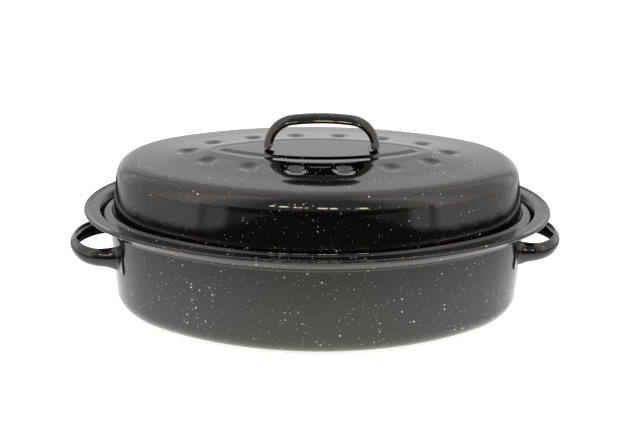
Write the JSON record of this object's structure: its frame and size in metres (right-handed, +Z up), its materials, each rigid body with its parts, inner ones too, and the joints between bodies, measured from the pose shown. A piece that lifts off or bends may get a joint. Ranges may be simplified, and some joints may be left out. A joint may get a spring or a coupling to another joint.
{
  "type": "roasting pan",
  "caption": "Oval covered roasting pan in enamelled sheet steel: deep pan with a flat rim and loop handles, domed lift-off lid with an arched strap handle and pressed dimples.",
  "frame": {"origin": "centre of the flat base, on the surface that the pan stands on", "axes": "+X along the length of the oval, through both loop handles; +Y across its width; +Z up, the way the lid lifts"},
  "size_m": [0.4058, 0.28, 0.1613],
  "materials": {
    "pan_enamel": "glossy black vitreous enamel with fine white flecks",
    "lid_enamel": "glossy black vitreous enamel with fine white flecks",
    "handle_enamel": "glossy black vitreous enamel with fine white flecks"
  },
  "bodies": {
    "pan": {"pan_body": "pan_enamel", "side_handle_left": "handle_enamel", "side_handle_right": "handle_enamel"},
    "lid": {"lid_shell": "lid_enamel", "lid_handle": "handle_enamel"}
  },
  "joints": [
    {"name": "lid_lift", "type": "slide", "parent": "pan", "child": "lid", "axis": [0, 0, 1], "range_m": [0, 0.12]}
  ]
}
